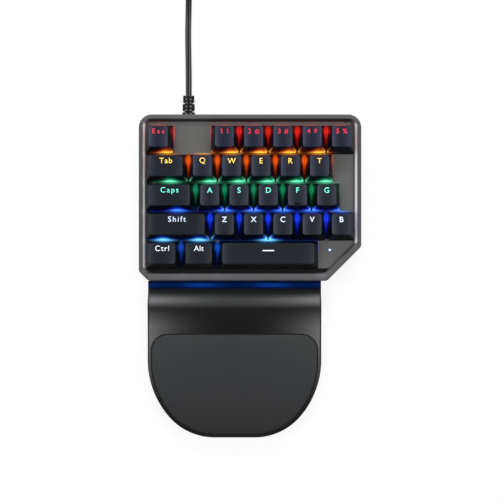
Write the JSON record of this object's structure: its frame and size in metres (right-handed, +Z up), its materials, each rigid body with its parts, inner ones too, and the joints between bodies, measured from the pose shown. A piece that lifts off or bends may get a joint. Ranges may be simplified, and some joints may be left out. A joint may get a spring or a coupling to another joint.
{
  "type": "one-handed mechanical keypad",
  "caption": "One-handed keypad with staggered mechanical keys in a chamfered metal-rimmed case, a fixed wrist rest with a soft pad, and a coiled USB cord.",
  "frame": {"origin": "on the table, under the middle of the case and wrist rest, without the cord", "axes": "+X to the user's right, +Y away from the user, +Z up"},
  "size_m": [0.1552, 0.3789, 0.0315],
  "materials": {
    "keycap": "fine satin, dished tops",
    "rim": "gunmetal satin",
    "plate_metal": "grey satin",
    "shell_black": "fine texture",
    "rest_shell": "satin",
    "pad_soft": "fine grain",
    "board_green": "solder mask",
    "switch_black": "moulded",
    "switch_clear": "milky translucent",
    "spring_steel": "drawn wire",
    "contact_metal": "plain",
    "lamp": "clear lens",
    "slider_plastic": "moulded",
    "foot_rubber": "matte",
    "screw_steel": "blackened",
    "cord_rubber": "glossy jacket",
    "plug_black": "moulded",
    "plug_metal": "plated",
    "plug_core": "plain"
  },
  "bodies": {
    "case": {"top_frame": "rim", "switch_plate": "plate_metal", "circuit_board": "board_green", "bottom_shell": "shell_black", "switch_bases": "switch_black", "switch_covers": "switch_clear", "switch_springs": "spring_steel", "switch_leds": "lamp", "switch_contacts": "contact_metal", "indicator_led": "lamp", "controller_chip": "switch_black", "cable_connector": "switch_black", "cable_pigtail": "cord_rubber", "stabiliser_housings": "switch_black", "wrist_rest_shell": "rest_shell", "wrist_rest_base": "shell_black", "wrist_pad": "pad_soft", "rubber_feet": "foot_rubber", "case_screws": "screw_steel", "plate_screws": "screw_steel", "wrist_rest_screws": "screw_steel", "strain_relief": "cord_rubber", "cable": "cord_rubber", "cable_coil": "cord_rubber", "cable_tail": "cord_rubber", "cable_tie": "cord_rubber", "plug_body": "plug_black", "plug_shell": "plug_metal", "plug_tongue": "plug_core"},
    "key_esc_body": {"key_esc": "keycap"},
    "key_1_body": {"key_1": "keycap"},
    "key_2_body": {"key_2": "keycap"},
    "key_3_body": {"key_3": "keycap"},
    "key_4_body": {"key_4": "keycap"},
    "key_5_body": {"key_5": "keycap"},
    "key_tab_body": {"key_tab": "keycap"},
    "key_q_body": {"key_q": "keycap"},
    "key_w_body": {"key_w": "keycap"},
    "key_e_body": {"key_e": "keycap"},
    "key_r_body": {"key_r": "keycap"},
    "key_t_body": {"key_t": "keycap"},
    "key_caps_body": {"key_caps": "keycap"},
    "key_a_body": {"key_a": "keycap"},
    "key_s_body": {"key_s": "keycap"},
    "key_d_body": {"key_d": "keycap"},
    "key_f_body": {"key_f": "keycap"},
    "key_g_body": {"key_g": "keycap"},
    "key_shift_body": {"key_shift": "keycap", "shift_stabiliser_sliders": "slider_plastic"},
    "key_z_body": {"key_z": "keycap"},
    "key_x_body": {"key_x": "keycap"},
    "key_c_body": {"key_c": "keycap"},
    "key_v_body": {"key_v": "keycap"},
    "key_b_body": {"key_b": "keycap"},
    "key_ctrl_body": {"key_ctrl": "keycap"},
    "key_alt_body": {"key_alt": "keycap"},
    "key_space_body": {"key_space": "keycap", "space_stabiliser_sliders": "slider_plastic"},
    "shift_wire_body": {"shift_stabiliser_wire": "spring_steel"},
    "space_wire_body": {"space_stabiliser_wire": "spring_steel"}
  },
  "joints": [
    {"name": "esc_press", "type": "slide", "parent": "case", "child": "key_esc_body", "axis": [0, 0, -1], "range_m": [0, 0.004], "stiffness_N_per_m": 100, "springref_m": -0.003, "deforming": ["switch_springs"]},
    {"name": "1_press", "type": "slide", "parent": "case", "child": "key_1_body", "axis": [0, 0, -1], "range_m": [0, 0.004], "stiffness_N_per_m": 100, "springref_m": -0.003, "deforming": ["switch_springs"]},
    {"name": "2_press", "type": "slide", "parent": "case", "child": "key_2_body", "axis": [0, 0, -1], "range_m": [0, 0.004], "stiffness_N_per_m": 100, "springref_m": -0.003, "deforming": ["switch_springs"]},
    {"name": "3_press", "type": "slide", "parent": "case", "child": "key_3_body", "axis": [0, 0, -1], "range_m": [0, 0.004], "stiffness_N_per_m": 100, "springref_m": -0.003, "deforming": ["switch_springs"]},
    {"name": "4_press", "type": "slide", "parent": "case", "child": "key_4_body", "axis": [0, 0, -1], "range_m": [0, 0.004], "stiffness_N_per_m": 100, "springref_m": -0.003, "deforming": ["switch_springs"]},
    {"name": "5_press", "type": "slide", "parent": "case", "child": "key_5_body", "axis": [0, 0, -1], "range_m": [0, 0.004], "stiffness_N_per_m": 100, "springref_m": -0.003, "deforming": ["switch_springs"]},
    {"name": "tab_press", "type": "slide", "parent": "case", "child": "key_tab_body", "axis": [0, 0, -1], "range_m": [0, 0.004], "stiffness_N_per_m": 100, "springref_m": -0.003, "deforming": ["switch_springs"]},
    {"name": "q_press", "type": "slide", "parent": "case", "child": "key_q_body", "axis": [0, 0, -1], "range_m": [0, 0.004], "stiffness_N_per_m": 100, "springref_m": -0.003, "deforming": ["switch_springs"]},
    {"name": "w_press", "type": "slide", "parent": "case", "child": "key_w_body", "axis": [0, 0, -1], "range_m": [0, 0.004], "stiffness_N_per_m": 100, "springref_m": -0.003, "deforming": ["switch_springs"]},
    {"name": "e_press", "type": "slide", "parent": "case", "child": "key_e_body", "axis": [0, 0, -1], "range_m": [0, 0.004], "stiffness_N_per_m": 100, "springref_m": -0.003, "deforming": ["switch_springs"]},
    {"name": "r_press", "type": "slide", "parent": "case", "child": "key_r_body", "axis": [0, 0, -1], "range_m": [0, 0.004], "stiffness_N_per_m": 100, "springref_m": -0.003, "deforming": ["switch_springs"]},
    {"name": "t_press", "type": "slide", "parent": "case", "child": "key_t_body", "axis": [0, 0, -1], "range_m": [0, 0.004], "stiffness_N_per_m": 100, "springref_m": -0.003, "deforming": ["switch_springs"]},
    {"name": "caps_press", "type": "slide", "parent": "case", "child": "key_caps_body", "axis": [0, 0, -1], "range_m": [0, 0.004], "stiffness_N_per_m": 100, "springref_m": -0.003, "deforming": ["switch_springs"]},
    {"name": "a_press", "type": "slide", "parent": "case", "child": "key_a_body", "axis": [0, 0, -1], "range_m": [0, 0.004], "stiffness_N_per_m": 100, "springref_m": -0.003, "deforming": ["switch_springs"]},
    {"name": "s_press", "type": "slide", "parent": "case", "child": "key_s_body", "axis": [0, 0, -1], "range_m": [0, 0.004], "stiffness_N_per_m": 100, "springref_m": -0.003, "deforming": ["switch_springs"]},
    {"name": "d_press", "type": "slide", "parent": "case", "child": "key_d_body", "axis": [0, 0, -1], "range_m": [0, 0.004], "stiffness_N_per_m": 100, "springref_m": -0.003, "deforming": ["switch_springs"]},
    {"name": "f_press", "type": "slide", "parent": "case", "child": "key_f_body", "axis": [0, 0, -1], "range_m": [0, 0.004], "stiffness_N_per_m": 100, "springref_m": -0.003, "deforming": ["switch_springs"]},
    {"name": "g_press", "type": "slide", "parent": "case", "child": "key_g_body", "axis": [0, 0, -1], "range_m": [0, 0.004], "stiffness_N_per_m": 100, "springref_m": -0.003, "deforming": ["switch_springs"]},
    {"name": "shift_press", "type": "slide", "parent": "case", "child": "key_shift_body", "axis": [0, 0, -1], "range_m": [0, 0.004], "stiffness_N_per_m": 100, "springref_m": -0.003, "deforming": ["switch_springs"]},
    {"name": "z_press", "type": "slide", "parent": "case", "child": "key_z_body", "axis": [0, 0, -1], "range_m": [0, 0.004], "stiffness_N_per_m": 100, "springref_m": -0.003, "deforming": ["switch_springs"]},
    {"name": "x_press", "type": "slide", "parent": "case", "child": "key_x_body", "axis": [0, 0, -1], "range_m": [0, 0.004], "stiffness_N_per_m": 100, "springref_m": -0.003, "deforming": ["switch_springs"]},
    {"name": "c_press", "type": "slide", "parent": "case", "child": "key_c_body", "axis": [0, 0, -1], "range_m": [0, 0.004], "stiffness_N_per_m": 100, "springref_m": -0.003, "deforming": ["switch_springs"]},
    {"name": "v_press", "type": "slide", "parent": "case", "child": "key_v_body", "axis": [0, 0, -1], "range_m": [0, 0.004], "stiffness_N_per_m": 100, "springref_m": -0.003, "deforming": ["switch_springs"]},
    {"name": "b_press", "type": "slide", "parent": "case", "child": "key_b_body", "axis": [0, 0, -1], "range_m": [0, 0.004], "stiffness_N_per_m": 100, "springref_m": -0.003, "deforming": ["switch_springs"]},
    {"name": "ctrl_press", "type": "slide", "parent": "case", "child": "key_ctrl_body", "axis": [0, 0, -1], "range_m": [0, 0.004], "stiffness_N_per_m": 100, "springref_m": -0.003, "deforming": ["switch_springs"]},
    {"name": "alt_press", "type": "slide", "parent": "case", "child": "key_alt_body", "axis": [0, 0, -1], "range_m": [0, 0.004], "stiffness_N_per_m": 100, "springref_m": -0.003, "deforming": ["switch_springs"]},
    {"name": "space_press", "type": "slide", "parent": "case", "child": "key_space_body", "axis": [0, 0, -1], "range_m": [0, 0.004], "stiffness_N_per_m": 100, "springref_m": -0.003, "deforming": ["switch_springs"]},
    {"name": "shift_wire_turn", "type": "hinge", "parent": "case", "child": "shift_wire_body", "pos_m": [-0.04763, 0.04192, 0.0122], "axis": [1, 0, 0], "range_deg": [0, 27.2]},
    {"name": "space_wire_turn", "type": "hinge", "parent": "case", "child": "space_wire_body", "pos_m": [0.01191, 0.02287, 0.0122], "axis": [1, 0, 0], "range_deg": [0, 27.2]}
  ],
  "couplings": [
    {"joint": "shift_wire_turn", "follows": "shift_press", "rad_per_m": 118.68},
    {"joint": "space_wire_turn", "follows": "space_press", "rad_per_m": 118.68}
  ]
}
